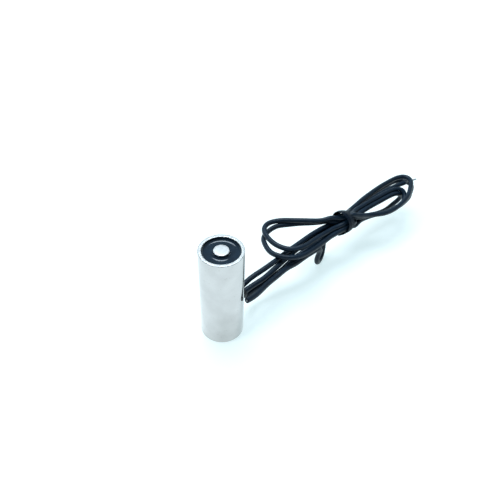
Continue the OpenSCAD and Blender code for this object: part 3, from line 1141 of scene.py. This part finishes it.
@dataclass
class Studio:
    """Camera, floor and soft light, in millimetres and degrees."""

    eye: Point = (-53.09, -66.96, 106.16)
    heading_deg: float = 47.57
    down_deg: float = 43.48
    roll_deg: float = 1.95
    lens: float = 40.64
    sensor: float = 36.0
    clip: tuple[float, float] = (5.0, 5000.0)
    lamps: tuple[Softbox, ...] = (KEY, TOP)
    aim: Point = (20.0, 0.0, 8.0)

    # The floor glows to the camera and in mirrors, and to the camera it fades to white between two distances
    floor_half: float = 1500.0
    floor_tone: str = "#bcb9b7"
    floor_glow: float = 0.77
    floor_glow_tone: str = "#e4fbff"
    floor_fade: tuple[float, float] = (230.0, 800.0)

    # The room is brightest one way, and metal mirrors a pale backdrop that ends between two angles up
    dim_tone: str = "#1c232a"
    bright_tone: str = "#93a6b2"
    bright_way: Point = (0.35, 0.45, 0.82)
    bright_from: float = -0.3
    backdrop_deg: tuple[float, float] = (14.0, 20.0)

    def build(self) -> None:
        """Set up the camera, the floor, the lamps and the room."""
        self.camera()
        self.floor()
        aim = Vector([a * MM for a in self.aim])
        for lamp in self.lamps:
            lamp.hang(aim)
        self.room()
        bpy.context.scene.view_settings.view_transform = "Standard"

    def camera(self) -> None:
        """Stand the camera where the view was taken from."""
        turn, down, roll = (math.radians(a) for a in (self.heading_deg, self.down_deg, self.roll_deg))
        ahead = Vector((math.cos(down) * math.cos(turn), math.cos(down) * math.sin(turn), -math.sin(down)))
        right = Vector((math.sin(turn), -math.cos(turn), 0))
        up = right.cross(ahead)
        right, up = right * math.cos(roll) + up * math.sin(roll), up * math.cos(roll) - right * math.sin(roll)
        data = bpy.data.cameras.new("photo_camera")
        data.lens = self.lens
        data.sensor_width = self.sensor
        data.clip_start, data.clip_end = (d * MM for d in self.clip)
        camera = placed("photo_camera", data)
        basis = Matrix((right, up, -ahead)).transposed().to_4x4()
        camera.matrix_world = Matrix.Translation(Vector(self.eye) * MM) @ basis
        bpy.context.scene.camera = camera

    def seen(self, tree: Tree) -> Socket:
        """Tell rays that show the background from rays that carry light.

        Args:
            tree: the node tree that asks.

        Returns:
            A value of 1 for camera, mirror and glass rays, and 0 for the rest.
        """
        rays = add(tree, "ShaderNodeLightPath").outputs
        shown = rays["Is Camera Ray"]
        for kind in ("Is Glossy Ray", "Is Transmission Ray"):
            shown = add(tree, "ShaderNodeMath", None, {"Value": shown, "Value_001": rays[kind]},
                        operation="MAXIMUM").outputs[0]
        return shown

    def floor(self) -> None:
        """Lay a pale floor that shows white, more so away from the object, and keeps its shadow."""
        half = self.floor_half * MM
        mesh = bpy.data.meshes.new("studio_floor")
        corners = [(-half, -half, 0), (half, -half, 0), (half, half, 0), (-half, half, 0)]
        mesh.from_pydata(corners, [], [(0, 1, 2, 3)])
        mesh.materials.append(self.paper())
        placed("studio_floor", mesh)

    def paper(self) -> bpy.types.Material:
        """Matt white paper that takes shadows and glows enough to show white.

        Returns:
            The floor's material.
        """
        material = bpy.data.materials.new("white_paper_sweep")
        material.use_nodes = True
        tree = material.node_tree
        tree.nodes.clear()
        paper = add(tree, "ShaderNodeBsdfDiffuse", {"Color": linear(self.floor_tone)})
        place = add(tree, "ShaderNodeTexCoord").outputs["Object"]
        away = add(tree, "ShaderNodeVectorMath", None, {"Vector": place}, operation="LENGTH")
        near, far = (d * MM for d in self.floor_fade)
        share = add(tree, "ShaderNodeMapRange", {"From Min": near, "From Max": far},
                    {"Value": away.outputs["Value"]}).outputs["Result"]
        rays = add(tree, "ShaderNodeLightPath").outputs
        white = add(tree, "ShaderNodeMath", None, {"Value": share, "Value_001": rays["Is Camera Ray"]},
                    operation="MULTIPLY")
        tone = add(tree, "ShaderNodeMix", {"A_Color": linear(self.floor_glow_tone), "B_Color": WHITE},
                   {"Factor_Float": white.outputs[0]}, data_type="RGBA")
        level = add(tree, "ShaderNodeMapRange", {"To Min": self.floor_glow, "To Max": 1.0}, {"Value": share})
        strength = add(tree, "ShaderNodeMath", None,
                       {"Value": level.outputs["Result"], "Value_001": self.seen(tree)}, operation="MULTIPLY")
        glow = add(tree, "ShaderNodeEmission", None,
                   {"Color": tone.outputs[MIXED_COLOUR], "Strength": strength.outputs[0]})
        both = add(tree, "ShaderNodeAddShader", None,
                   {"Shader": paper.outputs[0], "Shader_001": glow.outputs[0]})
        add(tree, "ShaderNodeOutputMaterial", None, {"Surface": both.outputs[0]})
        return material

    def room(self) -> None:
        """Light the object from all round, with a backdrop that the camera sees white and metal mirrors."""
        world = bpy.data.worlds.new("studio_sky")
        bpy.context.scene.world = world
        world.use_nodes = True
        tree = world.node_tree
        tree.nodes.clear()
        way = add(tree, "ShaderNodeTexCoord").outputs["Generated"]
        facing = add(tree, "ShaderNodeVectorMath", {"Vector_001": Vector(self.bright_way).normalized()},
                     {"Vector": way}, operation="DOT_PRODUCT")
        share = add(tree, "ShaderNodeMapRange", {"From Min": self.bright_from, "From Max": 1.0},
                    {"Value": facing.outputs["Value"]})
        tones = {"A_Color": linear(self.dim_tone), "B_Color": linear(self.bright_tone)}
        room = add(tree, "ShaderNodeMix", tones, {"Factor_Float": share.outputs["Result"]}, data_type="RGBA")
        height = add(tree, "ShaderNodeSeparateXYZ", None, {"Vector": way})
        low, high = (math.sin(math.radians(a)) for a in self.backdrop_deg)
        backdrop = add(tree, "ShaderNodeMapRange", {"From Min": high, "From Max": low},
                       {"Value": height.outputs["Z"]}).outputs["Result"]
        mirrored = add(tree, "ShaderNodeMath", None, {"Value": self.seen(tree), "Value_001": backdrop},
                       operation="MULTIPLY")
        mirror = {"Factor_Float": mirrored.outputs[0], "A_Color": room.outputs[MIXED_COLOUR]}
        tone = add(tree, "ShaderNodeMix", {"B_Color": linear(self.floor_glow_tone)}, mirror, data_type="RGBA")
        light = add(tree, "ShaderNodeBackground", {"Strength": 1.0}, {"Color": tone.outputs[MIXED_COLOUR]})
        white = add(tree, "ShaderNodeBackground", {"Color": WHITE, "Strength": 1.0})
        rays = add(tree, "ShaderNodeLightPath").outputs
        shown = {"Fac": rays["Is Camera Ray"], "Shader": light.outputs[0], "Shader_001": white.outputs[0]}
        mixed = add(tree, "ShaderNodeMixShader", None, shown)
        add(tree, "ShaderNodeOutputWorld", None, {"Surface": mixed.outputs[0]})


def main() -> None:
    """Build the studio and every piece in order."""
    logging.basicConfig(level=logging.INFO, format="%(name)s: %(message)s")
    Studio().build()
    Pot().build()
    bush = LeadBush().build()
    tie = TwistTie().build()
    Leads().build([bush, *tie])
    for piece in Inside:
        piece.dress()


if __name__ == "__main__":
    main()
